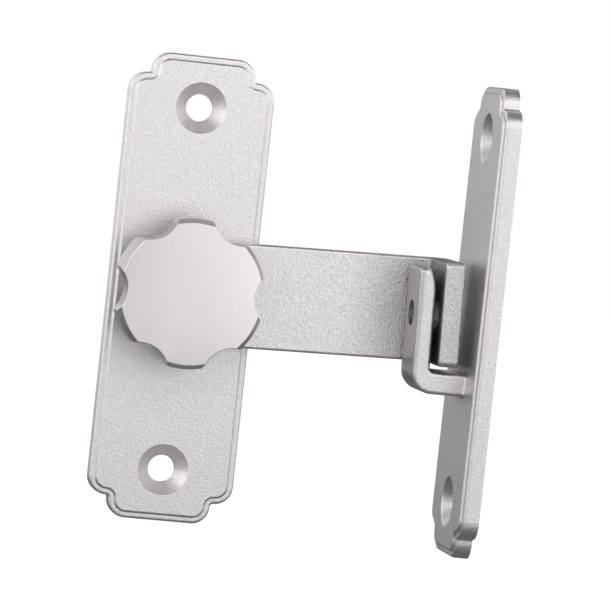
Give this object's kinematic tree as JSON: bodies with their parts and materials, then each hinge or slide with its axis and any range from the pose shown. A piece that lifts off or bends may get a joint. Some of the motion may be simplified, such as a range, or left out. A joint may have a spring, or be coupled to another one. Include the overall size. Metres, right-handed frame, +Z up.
{
  "type": "barn door latch",
  "caption": "Flip latch for a sliding barn door: a knob-turned arm on a door plate drops its bent end into the hook of a matching wall keeper.",
  "frame": {"origin": "middle of the door plate's two screw holes, on the plate's flat back face", "axes": "X to the right towards the keeper, Y into the door so the front faces -Y, Z up along the plates; the pivot axis of the arm is the Y axis"},
  "size_m": [0.0756, 0.0323, 0.0954],
  "materials": {
    "cast_steel": "fine sand blasted stainless steel",
    "brushed_knob": "vertically brushed stainless steel",
    "zinc_hardware": "plain turned steel",
    "nylon": "natural nylon"
  },
  "bodies": {
    "fixed_plates": {"main_plate": "cast_steel", "keeper": "cast_steel", "spring_washer": "zinc_hardware"},
    "latch": {"latch_arm": "cast_steel", "knob": "brushed_knob", "pivot_screw": "zinc_hardware", "retaining_washer": "zinc_hardware", "friction_washer": "nylon"}
  },
  "joints": [
    {"name": "latch_turn", "type": "hinge", "parent": "fixed_plates", "child": "latch", "pos_m": [0, 0, -0.00023], "axis": [0, -1, 0], "range_deg": [-1.3, 180]}
  ]
}
